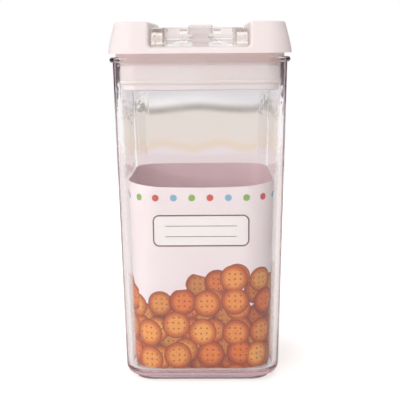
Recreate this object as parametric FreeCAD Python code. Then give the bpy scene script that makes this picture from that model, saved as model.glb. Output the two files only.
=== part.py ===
import FreeCAD, Part
import math
import os

# Square clear canister with a flip-handle lid.
# The origin is the middle of the foot, +Z is up and the handle's free end faces -Y.
# Lifting the handle turns an off-centre pin that lowers the plate under the seal.

# Jar, outside
jar_height = 138.4
jar_mouth_width = 72.0
jar_base_width = 66.4
jar_mouth_corner = 9.5
jar_base_corner = 12.0
jar_bottom_round = 3.6

# Jar, walls and cavity
jar_wall = 2.4
jar_floor = 2.6
jar_inner_round = 2.5

# Jar rim
rim_overhang = 1.2
rim_thickness = 2.2
rim_edge_round = 0.9
rim_inner_round = 0.4

# Jar foot, with the mark left by the moulding gate in its recess
foot_height = 1.8
foot_step = 0.4
foot_corner = 8.5
foot_ring_width = 3.6
foot_recess = 0.8
foot_edge_round = 0.6
gate_radius = 1.6
gate_height = 0.4

# Paper sleeve inside the jar
sleeve_height = 81.2
sleeve_thickness = 0.4
sleeve_corner = 15.0
sleeve_gap = 0.5
sleeve_seat_clearance = 0.15

# Handle, sizes about its hinge
handle_above_hinge = 3.1
handle_below_hinge = 4.2
handle_side_gap = 0.8
handle_floor_gap = 0.4
handle_drop = 2.4
handle_front_inset = 0.4
handle_arm_width = 4.2
handle_front_bar = 7.0
handle_rear_beam = 5.5
handle_yoke_room = 7.0
handle_edge_round = 0.7
handle_window_corner = 2.0

# Finger arch under the front bar of the handle
arch_width = 24.0
arch_height = 2.5

# Hinge pins
hinge_pin_radius = 1.5
hinge_pin_head_radius = 2.4
hinge_pin_head = 1.1
hinge_clearance = 0.05
pin_seat_clearance = 0.02

# Draw yoke, drive pin and the handle's cheeks beside the yoke
plate_travel = 1.6
drive_pin_radius = 1.3
drive_clearance = 0.07
yoke_head_width = 10.7
yoke_head_depth = 8.0
yoke_proud = 1.8
yoke_landing = 0.2
yoke_edge_round = 1.1
yoke_stem = 7.0
cheek_gap = 0.4
cheek_thickness = 3.0

# Lid cover
lid_gap = 1.5
cover_width = 75.4
cover_top_width = 69.6
cover_corner = 10.5
cover_top_corner = 8.5
cover_wall = 1.8
cover_edge_round = 1.0
cover_side_exponent = 1.25
cover_side_steps = 4

# Channel across the lid cover
channel_width = 40.4
channel_wall = 1.6
channel_floor = 1.4
channel_round = 1.3
channel_mouth_round = 1.6
channel_stem_clearance = 0.3

# Pads on the channel's floor that the handle's front corners rest on
pad_width = 3.0
pad_length = 4.0
pad_clearance = 0.05

# Lid base
base_plate = 1.0
base_fit = 0.12
ledge_overlap = 1.1
neck_depth = 2.9
neck_gap = 0.45
web_thickness = 2.4
spigot_wall = 2.0
spigot_corner = 4.0
spigot_lift = 1.8
guide_wall = 1.65
guide_length = 4.2
stem_clearance = 0.15

# Silicone seal
seal_height = 8.3
seal_section = 3.35
seal_gap = 0.15
seal_fit = 0.1
seal_round = 1.2

# Pressure plate
plate_thickness = 2.3
plate_gap = 0.7
plate_edge_round = 0.8
riser_wall = 1.8
riser_gap = 0.6
plate_rib = 1.4
plate_rib_height = 1.2
plate_rib_end_gap = 0.6
socket_clearance = 0.03

# Cutting tools run past their faces by this much, and edges match a plane this closely
overrun = 5.0
match = 0.001

# Heights from the foot up
floor_z = foot_height + jar_floor
rim_bottom_z = jar_height - rim_thickness
shoulder_z = jar_height - neck_depth
plate_top_z = shoulder_z - seal_height
plate_bottom_z = plate_top_z - plate_thickness
spigot_bottom_z = plate_top_z + spigot_lift
cover_bottom_z = jar_height + lid_gap
base_top_z = cover_bottom_z + base_plate
web_z = cover_bottom_z - web_thickness
guide_bottom_z = web_z - guide_length
riser_top_z = guide_bottom_z - riser_gap
channel_under_z = base_top_z + base_fit
channel_z = channel_under_z + channel_floor
handle_bottom_z = channel_z + handle_floor_gap
hinge_z = handle_bottom_z + handle_below_hinge
handle_top_z = hinge_z + handle_above_hinge
cover_top_z = handle_top_z + handle_drop
cover_height = cover_top_z - cover_bottom_z

# The drive pin stands behind and above the hinge by the same step, half the plate's travel
drive_step = plate_travel / 2
drive_throw = drive_step * math.sqrt(2)
drive_z = hinge_z + drive_step

# Half widths across the channel, from the middle outwards
yoke_head_half = yoke_head_width / 2
cheek_inner = yoke_head_half + cheek_gap
cheek_outer = cheek_inner + cheek_thickness
channel_half = channel_width / 2
handle_half = channel_half - handle_side_gap
arm_inner = handle_half - handle_arm_width
channel_shell_half = channel_half + channel_wall


def jar_share(z):
    """Share of the way up the jar's side."""
    return (z - foot_height) / (jar_height - foot_height)


def jar_half(z):
    """Half the jar's outer width at a height."""
    return (jar_base_width + (jar_mouth_width - jar_base_width) * jar_share(z)) / 2


def jar_corner(z):
    """Outer corner radius of the jar at a height."""
    return jar_base_corner + (jar_mouth_corner - jar_base_corner) * jar_share(z)


def cover_share(z):
    """Share of the lid cover's total draw-in reached at a height."""
    return (max(z - cover_bottom_z, 0) / cover_height) ** cover_side_exponent


def cover_half(z):
    """Half the lid cover's outer width at a height."""
    return (cover_width - (cover_width - cover_top_width) * cover_share(z)) / 2


def cover_corner_at(z):
    """Outer corner radius of the lid cover at a height."""
    return cover_corner - (cover_corner - cover_top_corner) * cover_share(z)


def rounded_square(half, corner, z):
    """Closed wire: a square of the given half width with round corners, at height z."""
    side = half - corner
    edges = []
    for quarter in range(4):
        turn = FreeCAD.Rotation(FreeCAD.Vector(0, 0, 1), 90 * quarter)
        low = turn.multVec(FreeCAD.Vector(half, -side, z))
        high = turn.multVec(FreeCAD.Vector(half, side, z))
        after = turn.multVec(FreeCAD.Vector(side, half, z))
        reach = side + corner * math.sqrt(0.5)
        middle = turn.multVec(FreeCAD.Vector(reach, reach, z))
        edges.append(Part.LineSegment(low, high).toShape())
        edges.append(Part.Arc(high, middle, after).toShape())
    return Part.Wire(edges)


def prism(half, corner, z_low, z_high):
    """Upright solid with a rounded square plan."""
    face = Part.Face(rounded_square(half, corner, z_low))
    return face.extrude(FreeCAD.Vector(0, 0, z_high - z_low))


def block(x_low, x_high, y_low, y_high, z_low, z_high):
    """Plain box between two corners."""
    corner = FreeCAD.Vector(x_low, y_low, z_low)
    return Part.makeBox(x_high - x_low, y_high - y_low, z_high - z_low, corner)


def post(half, z_low, z_high):
    """Upright square post about the Z axis."""
    return block(-half, half, -half, half, z_low, z_high)


def rod(radius, x_low, x_high, y, z):
    """Cylinder along X."""
    start = FreeCAD.Vector(x_low, y, z)
    return Part.makeCylinder(radius, x_high - x_low, start, FreeCAD.Vector(1, 0, 0))


def level_edges(shape, z):
    """Edges of a shape that lie in the plane at height z."""
    return [
        edge
        for edge in shape.Edges
        if abs(edge.BoundBox.ZMin - z) < match and abs(edge.BoundBox.ZMax - z) < match
    ]


def upright_edges(shape):
    """Straight edges of a shape that run along Z."""
    return [
        edge
        for edge in shape.Edges
        if edge.BoundBox.XLength < match and edge.BoundBox.YLength < match
    ]


def jar_body(inset, z_low, z_high):
    """Drafted solid that follows the jar's side, set in from its outer face."""
    wires = [
        rounded_square(jar_half(z) - inset, jar_corner(z) - inset, z) for z in (z_low, z_high)
    ]
    return Part.makeLoft(wires, True, True)


def make_jar():
    """Clear jar: drafted wall, rolled rim, rounded bottom and a foot ring."""
    outside = jar_body(0, foot_height, jar_height)
    outside = outside.makeFillet(jar_bottom_round, level_edges(outside, foot_height))

    foot_half = jar_half(foot_height) - jar_bottom_round - foot_step
    foot = prism(foot_half, foot_corner, 0, floor_z)
    foot = foot.makeFillet(foot_edge_round, level_edges(foot, 0))
    recess_half = foot_half - foot_ring_width
    recess = prism(recess_half, foot_corner * recess_half / foot_half, -overrun, foot_recess)
    gate = Part.makeCylinder(gate_radius, foot_height, FreeCAD.Vector(0, 0, foot_recess - gate_height))

    rim_half = jar_half(jar_height) + rim_overhang
    rim = prism(rim_half, jar_corner(jar_height) + rim_overhang, rim_bottom_z, jar_height)
    rim_edges = level_edges(rim, rim_bottom_z) + level_edges(rim, jar_height)
    rim = rim.makeFillet(rim_edge_round, rim_edges)

    cavity = jar_body(jar_wall, floor_z, jar_height + overrun)
    cavity = cavity.makeFillet(jar_inner_round, level_edges(cavity, floor_z))

    jar = outside.fuse([foot, rim]).cut(recess).fuse(gate).cut(cavity).removeSplitter()
    mouth_half = jar_half(jar_height) - jar_wall + match
    mouth_edges = [
        edge
        for edge in level_edges(jar, jar_height)
        if edge.BoundBox.XMax < mouth_half and edge.BoundBox.XMin > -mouth_half
        and edge.BoundBox.YMax < mouth_half and edge.BoundBox.YMin > -mouth_half
    ]
    return jar.makeFillet(rim_inner_round, mouth_edges)


def sleeve_body(inset, z_low, z_high):
    """Drafted solid that follows the jar's wall with the sleeve's own wide corners."""
    wires = []
    for z in (z_low, z_high):
        half = jar_half(z) - jar_wall - sleeve_gap - inset
        wires.append(rounded_square(half, sleeve_corner - inset, z))
    return Part.makeLoft(wires, True, True)


def make_label_sleeve():
    """Paper sleeve standing on the rounding at the bottom of the jar's cavity."""
    reach = jar_inner_round - sleeve_gap
    seat = jar_inner_round - math.sqrt(jar_inner_round**2 - reach**2)
    bottom_z = floor_z + seat + sleeve_seat_clearance
    top_z = bottom_z + sleeve_height
    outer = sleeve_body(0, bottom_z, top_z)
    inner = sleeve_body(sleeve_thickness, bottom_z - overrun, top_z + overrun)
    return outer.cut(inner)


def cover_body(inset, z_low, z_high):
    """Solid that follows the lid cover's bowed side, set in from its outer face."""
    wires = []
    for step in range(cover_side_steps + 1):
        z = z_low + (z_high - z_low) * step / cover_side_steps
        wires.append(rounded_square(cover_half(z) - inset, cover_corner_at(z) - inset, z))
    return Part.makeLoft(wires, True, False)


def channel_cut():
    """Cutter for the channel, with its lower corners rounded."""
    far = cover_width / 2 + overrun
    cut = block(-channel_half, channel_half, -far, far, channel_z, cover_top_z + overrun)
    floor_edges = [edge for edge in level_edges(cut, channel_z) if edge.BoundBox.XLength < match]
    return cut.makeFillet(channel_round, floor_edges)


def channel_mouth_edges(shape):
    """Edges where the channel opens through the front and the back of the lid cover."""
    mouth_y = min(cover_half(cover_bottom_z), cover_half(cover_top_z)) - match
    reach = channel_half + match
    edges = []
    for edge in shape.Edges:
        box = edge.BoundBox
        inside = box.XMax < reach and box.XMin > -reach
        if inside and (box.YMin > mouth_y or box.YMax < -mouth_y):
            edges.append(edge)
    return edges


def make_lid_cover():
    """Hollow shell with a channel from front to back for the handle."""
    outside = cover_body(0, cover_bottom_z, cover_top_z).cut(channel_cut())
    outside = outside.makeFillet(channel_mouth_round, channel_mouth_edges(outside))
    outside = outside.makeFillet(cover_edge_round, level_edges(outside, cover_top_z))

    far = cover_width / 2 + overrun
    channel_shell = block(
        -channel_shell_half, channel_shell_half, -far, far, channel_under_z, cover_top_z + overrun
    )
    hollow = cover_body(cover_wall, cover_bottom_z, cover_top_z - cover_wall).cut(channel_shell)

    stem_hole = post(yoke_stem / 2 + channel_stem_clearance, cover_bottom_z, hinge_z)
    pin_hole_reach = channel_shell_half + overrun
    pin_holes = rod(hinge_pin_radius + pin_seat_clearance, -pin_hole_reach, pin_hole_reach, 0, hinge_z)

    pad_y = handle_front_y() + handle_front_bar / 2
    pad_x = arm_inner + handle_arm_width / 2
    pad_top_z = handle_bottom_z - pad_clearance
    pads = [
        block(
            x - pad_width / 2,
            x + pad_width / 2,
            pad_y - pad_length / 2,
            pad_y + pad_length / 2,
            channel_z - channel_floor / 2,
            pad_top_z,
        )
        for x in (-pad_x, pad_x)
    ]
    return outside.cut([hollow, stem_hole, pin_holes]).fuse(pads).removeSplitter()


def make_lid_base():
    """Closing plate with a ledge on the jar's rim, a neck, and a spigot that carries the seal."""
    plate_half = cover_half(base_top_z) - cover_wall - base_fit
    plate_corner = cover_corner_at(base_top_z) - cover_wall
    ledge_half = jar_half(jar_height) - jar_wall + ledge_overlap
    ledge_corner = jar_corner(jar_height) - jar_wall + ledge_overlap
    neck_inset = jar_wall + neck_gap
    neck_half = jar_half(shoulder_z) - neck_inset
    neck_corner = jar_corner(shoulder_z) - neck_inset
    spigot_half = seal_outer_half() - seal_section - seal_fit

    plate = prism(plate_half, plate_corner, cover_bottom_z, base_top_z)
    ledge = prism(ledge_half, ledge_corner, jar_height, cover_bottom_z)
    neck = prism(neck_half, neck_corner, shoulder_z, jar_height)
    spigot = prism(spigot_half, spigot_corner, spigot_bottom_z, shoulder_z)
    hollow_half = spigot_half - spigot_wall
    hollow = prism(hollow_half, spigot_corner * hollow_half / spigot_half, spigot_bottom_z - overrun, web_z)
    stem_hole_half = yoke_stem / 2 + stem_clearance
    guide = post(stem_hole_half + guide_wall, guide_bottom_z, web_z)
    stem_hole = post(stem_hole_half, guide_bottom_z - overrun, base_top_z + overrun)

    shell = plate.fuse([ledge, neck, spigot]).cut(hollow)
    return shell.fuse(guide).cut(stem_hole).removeSplitter()


def seal_outer_half():
    """Half width of the squeezed seal, just clear of the jar's wall at the seal's foot."""
    return jar_half(plate_top_z) - jar_wall - seal_gap


def make_seal_ring():
    """Silicone ring between the lid base's shoulder and the pressure plate."""
    outer_half = seal_outer_half()
    outer_corner = jar_corner(plate_top_z) - jar_wall - seal_gap
    outer = prism(outer_half, outer_corner, plate_top_z, shoulder_z)
    outer_edges = level_edges(outer, plate_top_z) + level_edges(outer, shoulder_z)
    outer = outer.makeFillet(seal_round, outer_edges)
    inner_half = outer_half - seal_section
    inner_corner = spigot_corner + seal_fit
    return outer.cut(prism(inner_half, inner_corner, plate_top_z - overrun, shoulder_z + overrun))


def make_pressure_plate():
    """Plate that squeezes the seal from below, with a riser that takes the yoke's stem."""
    low_z = plate_bottom_z - plate_travel
    inset = jar_wall + plate_gap
    plate = prism(jar_half(low_z) - inset, jar_corner(low_z) - inset, plate_bottom_z, plate_top_z)
    plate = plate.makeFillet(plate_edge_round, level_edges(plate, plate_bottom_z))

    socket_half = yoke_stem / 2 + socket_clearance
    riser = post(socket_half + riser_wall, plate_top_z, riser_top_z)
    socket = post(socket_half, plate_top_z, riser_top_z + overrun)
    rib_reach = seal_outer_half() - seal_section - seal_fit - spigot_wall - plate_rib_end_gap
    rib_top_z = plate_top_z + plate_rib_height
    rib_half = plate_rib / 2
    ribs = [
        block(-rib_reach, rib_reach, -rib_half, rib_half, plate_top_z, rib_top_z),
        block(-rib_half, rib_half, -rib_reach, rib_reach, plate_top_z, rib_top_z),
    ]
    return plate.fuse([riser] + ribs).cut(socket).removeSplitter()


def make_draw_yoke():
    """Block on a square stem, slotted for the drive pin that carries it."""
    head_bottom_z = channel_z + plate_travel + yoke_landing
    head_top_z = handle_top_z + yoke_proud
    head_half_depth = yoke_head_depth / 2
    head = block(
        -yoke_head_half, yoke_head_half, -head_half_depth, head_half_depth, head_bottom_z, head_top_z
    )
    head = head.makeFillet(yoke_edge_round, level_edges(head, head_top_z) + upright_edges(head))
    stem = post(yoke_stem / 2, plate_top_z, head_bottom_z)

    slot_margin = drive_pin_radius + drive_clearance
    slot = block(
        -yoke_head_width,
        yoke_head_width,
        drive_step - slot_margin,
        drive_throw + slot_margin,
        drive_z - slot_margin,
        drive_z + slot_margin,
    )
    return head.fuse(stem).cut(slot).removeSplitter()


def make_drive_pin():
    """Cross pin held in the handle's cheeks and running in the yoke's slot."""
    return rod(drive_pin_radius, -cheek_outer, cheek_outer, drive_step, drive_z)


def handle_front_y():
    """Foremost point of the handle, at the foot of its sloped front."""
    return handle_front_inset - cover_half(handle_bottom_z)


def handle_body():
    """Handle before its rooms are cut: sloped front, flat top, round about the hinge."""
    front_low = FreeCAD.Vector(-handle_half, handle_front_y(), handle_bottom_z)
    front_high_y = handle_front_inset - cover_half(handle_top_z)
    front_high = FreeCAD.Vector(-handle_half, front_high_y, handle_top_z)
    back_y = math.sqrt(handle_below_hinge**2 - handle_above_hinge**2)
    back_high = FreeCAD.Vector(-handle_half, back_y, handle_top_z)
    back_middle = FreeCAD.Vector(-handle_half, handle_below_hinge, hinge_z)
    back_low = FreeCAD.Vector(-handle_half, 0, handle_bottom_z)
    edges = [
        Part.LineSegment(front_low, front_high).toShape(),
        Part.LineSegment(front_high, back_high).toShape(),
        Part.Arc(back_high, back_middle, back_low).toShape(),
        Part.LineSegment(back_low, front_low).toShape(),
    ]
    body = Part.Face(Part.Wire(edges)).extrude(FreeCAD.Vector(2 * handle_half, 0, 0))
    return body.makeFillet(handle_edge_round, body.Edges)


def finger_arch():
    """Cutter for the shallow arch under the front bar."""
    radius = (arch_width**2 / 4 + arch_height**2) / (2 * arch_height)
    start = FreeCAD.Vector(0, handle_front_y() - overrun, handle_bottom_z + arch_height - radius)
    return Part.makeCylinder(radius, handle_front_bar + 2 * overrun, start, FreeCAD.Vector(0, 1, 0))


def make_handle():
    """Clear frame: two arms, a front bar with a finger arch, a rear beam and two cheeks."""
    bar_y = handle_front_y() + handle_front_bar
    beam_y = -handle_yoke_room
    window_end_y = beam_y - handle_rear_beam
    low_z = handle_bottom_z - overrun
    high_z = handle_top_z + overrun
    back_y = handle_below_hinge + overrun

    window = block(-arm_inner, arm_inner, bar_y, window_end_y, low_z, high_z)
    window = window.makeFillet(handle_window_corner, upright_edges(window))
    rooms = [
        block(-cheek_inner, cheek_inner, beam_y, back_y, low_z, high_z),
        block(-arm_inner, -cheek_outer, beam_y, back_y, low_z, high_z),
        block(cheek_outer, arm_inner, beam_y, back_y, low_z, high_z),
    ]
    frame = handle_body().cut([window, finger_arch()])
    window_edges = [
        edge
        for edge in level_edges(frame, handle_top_z)
        if edge.BoundBox.XMax < arm_inner + match and edge.BoundBox.XMin > -arm_inner - match
        and edge.BoundBox.YMin > bar_y - match and edge.BoundBox.YMax < window_end_y + match
    ]
    frame = frame.makeFillet(handle_edge_round, window_edges)

    hinge_bore = rod(hinge_pin_radius + hinge_clearance, -channel_half, channel_half, 0, hinge_z)
    drive_bore = rod(drive_pin_radius + pin_seat_clearance, -cheek_outer, cheek_outer, drive_step, drive_z)
    return frame.cut(rooms + [hinge_bore, drive_bore])


def make_hinge_pin(side):
    """Headed pin through the channel's wall into the handle's arm; side is -1 or 1."""
    shank = rod(hinge_pin_radius, arm_inner, channel_shell_half, 0, hinge_z)
    head = rod(hinge_pin_head_radius, channel_shell_half, channel_shell_half + hinge_pin_head, 0, hinge_z)
    pin = shank.fuse(head)
    if side < 0:
        pin = pin.mirror(FreeCAD.Vector(0, 0, 0), FreeCAD.Vector(1, 0, 0))
    return pin


def main():
    """Build every piece and write one file for each."""
    pieces = {
        "jar": make_jar(),
        "label_sleeve": make_label_sleeve(),
        "lid_cover": make_lid_cover(),
        "lid_base": make_lid_base(),
        "seal_ring": make_seal_ring(),
        "pressure_plate": make_pressure_plate(),
        "draw_yoke": make_draw_yoke(),
        "drive_pin": make_drive_pin(),
        "handle": make_handle(),
        "hinge_pin_left": make_hinge_pin(-1),
        "hinge_pin_right": make_hinge_pin(1),
    }
    os.makedirs("parts", exist_ok=True)
    for name, shape in pieces.items():
        print(name, len(shape.Solids), shape.isValid(), round(shape.Volume, 2))
        shape.exportStep(f"parts/{name}.step")


main()
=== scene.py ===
import logging
import math
from dataclasses import dataclass
from enum import Enum
from typing import Callable, Union

import bmesh
import bpy
from mathutils import Euler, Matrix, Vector


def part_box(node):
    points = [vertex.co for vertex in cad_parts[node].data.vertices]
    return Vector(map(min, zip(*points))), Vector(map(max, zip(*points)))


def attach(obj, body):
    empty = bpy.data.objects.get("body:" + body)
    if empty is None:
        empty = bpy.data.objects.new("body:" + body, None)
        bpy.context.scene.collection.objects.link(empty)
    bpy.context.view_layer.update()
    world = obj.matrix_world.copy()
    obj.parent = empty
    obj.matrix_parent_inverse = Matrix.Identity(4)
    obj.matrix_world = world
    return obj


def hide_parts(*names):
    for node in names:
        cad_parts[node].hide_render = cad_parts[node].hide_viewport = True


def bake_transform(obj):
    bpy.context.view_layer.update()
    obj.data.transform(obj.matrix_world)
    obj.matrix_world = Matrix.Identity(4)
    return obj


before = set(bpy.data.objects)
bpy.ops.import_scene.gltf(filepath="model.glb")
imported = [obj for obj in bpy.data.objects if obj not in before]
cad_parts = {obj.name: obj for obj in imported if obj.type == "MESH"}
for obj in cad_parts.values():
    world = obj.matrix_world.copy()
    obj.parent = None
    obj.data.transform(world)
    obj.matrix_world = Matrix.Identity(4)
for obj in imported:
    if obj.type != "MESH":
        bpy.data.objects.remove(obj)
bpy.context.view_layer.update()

logging.basicConfig(level=logging.INFO, format="%(message)s")
LOG = logging.getLogger("canister")

Triple = tuple[float, float, float]
Span = tuple[float, float]
Colour = tuple[float, float, float, float]
Source = Union[bpy.types.NodeSocket, float, tuple, Vector]

MM = 0.001
MATCH = 0.02 * MM
HALF = 0.5
CENTRE: Triple = (0.0, 0.0, 0.0)
RIGHT: Triple = (1.0, 0.0, 0.0)
UP: Triple = (0.0, 0.0, 1.0)
WHITE: Colour = (1.0, 1.0, 1.0, 1.0)
PRINT_MAP = "print"

FULL_LEVEL = 255
SRGB_KNEE = 0.04045
SRGB_SLOPE = 12.92
SRGB_LIFT = 0.055
SRGB_POWER = 2.4


class Body(Enum):
    """Bodies of the frame that the scene's own pieces ride on."""

    JAR = "jar"
    LID = "lid"
    PLUNGER = "plunger"


class Pick(Enum):
    """Kinds of mesh element that a selection takes."""

    POINTS = "VERT"
    EDGES = "EDGE"
    FACES = "FACE"


def paint(red: int, green: int, blue: int) -> Colour:
    """Turns an 8-bit display colour into a linear one.

    Args:
        red: red from 0 to 255.
        green: green from 0 to 255.
        blue: blue from 0 to 255.

    Returns:
        The linear colour with full alpha.
    """
    parts = []
    for level in (red, green, blue):
        share = level / FULL_LEVEL
        if share <= SRGB_KNEE:
            parts.append(share / SRGB_SLOPE)
        else:
            parts.append(((share + SRGB_LIFT) / (1 + SRGB_LIFT)) ** SRGB_POWER)
    return (*parts, 1.0)


@dataclass(frozen=True)
class Clouds:
    """Size and fineness of a cloudy noise."""

    per_metre: float
    octaves: float
    rough: float = HALF


class Wiring:
    """Short words for adding and joining the nodes of one node tree."""

    MIX_FIRST = 6
    MIX_SECOND = 7
    MIX_RESULT = 2

    def __init__(self, tree: bpy.types.NodeTree) -> None:
        """Keeps the tree that the nodes go into."""
        self.tree = tree

    def feed(self, socket: bpy.types.NodeSocket, source: Source) -> None:
        """Links a socket to another one, or sets its plain value.

        Args:
            socket: the input to fill.
            source: an output socket, or a value.
        """
        if isinstance(source, bpy.types.NodeSocket):
            self.tree.links.new(source, socket)
        else:
            socket.default_value = source

    def add(
        self, kind: str, settings: dict[str, object] | None = None, **sockets: Source
    ) -> bpy.types.Node:
        """Adds one node.

        Args:
            kind: the node's type.
            settings: the node's own options.
            **sockets: inputs by name, with spaces as underscores.

        Returns:
            The new node.
        """
        node = self.tree.nodes.new(kind)
        for name, value in (settings or {}).items():
            setattr(node, name, value)
        for name, source in sockets.items():
            self.feed(node.inputs[name.replace("_", " ")], source)
        return node

    def math(self, operation: str, *numbers: Source) -> bpy.types.NodeSocket:
        """Adds a number sum.

        Args:
            operation: the sum's name.
            *numbers: the numbers that it takes, in order.

        Returns:
            The result's socket.
        """
        node = self.add("ShaderNodeMath", {"operation": operation})
        for socket, number in zip(node.inputs, numbers):
            self.feed(socket, number)
        return node.outputs[0]

    def plus(self, first: Source, second: Source) -> bpy.types.NodeSocket:
        """Adds two numbers."""
        return self.math("ADD", first, second)

    def minus(self, first: Source, second: Source) -> bpy.types.NodeSocket:
        """Takes the second number from the first."""
        return self.math("SUBTRACT", first, second)

    def times(self, first: Source, second: Source) -> bpy.types.NodeSocket:
        """Multiplies two numbers."""
        return self.math("MULTIPLY", first, second)

    def vector(self, operation: str, *vectors: Source) -> bpy.types.NodeSocket:
        """Adds a vector sum.

        Args:
            operation: the sum's name.
            *vectors: the vectors that it takes, in order.

        Returns:
            The result's socket, a number for a length.
        """
        node = self.add("ShaderNodeVectorMath", {"operation": operation})
        for socket, vector in zip(node.inputs, vectors):
            self.feed(socket, vector)
        return node.outputs["Value" if operation == "LENGTH" else "Vector"]

    def scaled(self, vector: Source, share: Source) -> bpy.types.NodeSocket:
        """Multiplies a vector by a number."""
        node = self.add("ShaderNodeVectorMath", {"operation": "SCALE"}, Scale=share)
        self.feed(node.inputs[0], vector)
        return node.outputs[0]

    def split(self, vector: Source) -> bpy.types.NodeOutputs:
        """Parts a vector into its X, Y and Z."""
        return self.add("ShaderNodeSeparateXYZ", Vector=vector).outputs

    def object_place(self) -> bpy.types.NodeSocket:
        """Gives the place on the piece, in metres."""
        return self.add("ShaderNodeTexCoord").outputs["Object"]

    def step(self, value: Source, low: float, high: float) -> bpy.types.NodeSocket:
        """Adds a soft step that rises from 0 at low to 1 at high.

        Args:
            value: the number to test.
            low: where the step starts.
            high: where it ends; lower than low for a falling step.

        Returns:
            The step's socket.
        """
        start, end = (0.0, 1.0) if high > low else (1.0, 0.0)
        node = self.add(
            "ShaderNodeMapRange",
            {"interpolation_type": "SMOOTHSTEP"},
            Value=value,
            From_Min=min(low, high),
            From_Max=max(low, high),
            To_Min=start,
            To_Max=end,
        )
        return node.outputs[0]

    def hump(self, value: Source, rise: Span, fall: Span) -> bpy.types.NodeSocket:
        """Adds a soft step up and a soft step down again.

        Args:
            value: the number to test.
            rise: where the hump starts, and where it is full.
            fall: where the hump has ended, and where it is still full.

        Returns:
            A socket that is 1 on the hump and 0 beside it.
        """
        return self.times(self.step(value, *rise), self.step(value, *fall))

    def blend(self, share: Source, first: Source, second: Source) -> bpy.types.NodeSocket:
        """Adds a colour mix.

        Args:
            share: how much of the second colour shows.
            first: colour below.
            second: colour on top.

        Returns:
            The mixed colour's socket.
        """
        node = self.add("ShaderNodeMix", {"data_type": "RGBA"})
        self.feed(node.inputs["Factor"], share)
        self.feed(node.inputs[self.MIX_FIRST], first)
        self.feed(node.inputs[self.MIX_SECOND], second)
        return node.outputs[self.MIX_RESULT]

    def noise(self, place: Source, clouds: Clouds) -> bpy.types.NodeSocket:
        """Adds cloudy noise.

        Args:
            place: where on the piece.
            clouds: how large and how fine the clouds are.

        Returns:
            The noise's value, from 0 to 1.
        """
        node = self.add(
            "ShaderNodeTexNoise",
            Vector=place,
            Scale=clouds.per_metre,
            Detail=clouds.octaves,
            Roughness=clouds.rough,
        )
        return node.outputs[0]

    def cells(self, place: Source, rate: float, scatter: float) -> bpy.types.NodeOutputs:
        """Adds flat cells round scattered middles.

        Args:
            place: where on the print.
            rate: cells to a unit of place.
            scatter: how far the middles leave an even grid, from 0 to 1.

        Returns:
            The cells' outputs.
        """
        node = self.add(
            "ShaderNodeTexVoronoi",
            {"voronoi_dimensions": "2D", "feature": "F1"},
            Vector=place,
            Scale=rate,
            Randomness=scatter,
        )
        return node.outputs

    def bump(self, height: Source, strength: float, depth: float) -> bpy.types.NodeSocket:
        """Turns a height into a surface normal.

        Args:
            height: the height, from 0 to 1.
            strength: how much of it shows.
            depth: what a height of 1 measures.

        Returns:
            The normal's socket.
        """
        node = self.add("ShaderNodeBump", Strength=strength, Distance=depth, Height=height)
        return node.outputs[0]

    def group(self, tree: bpy.types.NodeTree, **sockets: Source) -> bpy.types.NodeOutputs:
        """Places a shared effect.

        Args:
            tree: the effect's node group.
            **sockets: its inputs by name.

        Returns:
            The group's outputs.
        """
        return self.add("ShaderNodeGroup", {"node_tree": tree}, **sockets).outputs


class Effect:
    """A shader node group that several finishes share."""

    KINDS = {"number": "NodeSocketFloat", "vector": "NodeSocketVector", "colour": "NodeSocketColor"}

    def __init__(self, name: str, takes: dict[str, str], gives: dict[str, str]) -> None:
        """Makes the empty group with its named sockets.

        Args:
            name: the group's name.
            takes: inputs, each with its kind.
            gives: outputs, each with its kind.
        """
        self.tree = bpy.data.node_groups.new(name, "ShaderNodeTree")
        for direction, sockets in (("INPUT", takes), ("OUTPUT", gives)):
            for label, kind in sockets.items():
                self.tree.interface.new_socket(label, in_out=direction, socket_type=self.KINDS[kind])
        self.wiring = Wiring(self.tree)
        self.inside = self.wiring.add("NodeGroupInput").outputs
        self.outside = self.wiring.add("NodeGroupOutput").inputs

    def give(self, label: str, source: Source) -> None:
        """Joins one output of the group to what makes it."""
        self.wiring.feed(self.outside[label], source)


@dataclass(frozen=True)
class MouldGrain:
    """Fine spark-eroded grain over a slow waviness of the moulded skin."""

    fine: Clouds = Clouds(5200.0, 2.0)
    slow: Clouds = Clouds(160.0, 2.0)
    fine_height: float = 0.35
    fine_dullness: float = 0.5
    slow_dullness: float = 0.5

    def build(self) -> bpy.types.NodeTree:
        """Builds the group.

        Returns:
            The group, with a height and a roughness share.
        """
        gives = {"Height": "number", "Dullness": "number"}
        effect = Effect("mould_grain", {"Place": "vector"}, gives)
        wiring = effect.wiring
        fine = wiring.noise(effect.inside["Place"], self.fine)
        slow = wiring.noise(effect.inside["Place"], self.slow)
        effect.give("Height", wiring.plus(wiring.times(fine, self.fine_height), slow))
        dull_fine = wiring.times(fine, self.fine_dullness)
        dull_slow = wiring.times(slow, self.slow_dullness)
        effect.give("Dullness", wiring.plus(dull_fine, dull_slow))
        return effect.tree


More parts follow.
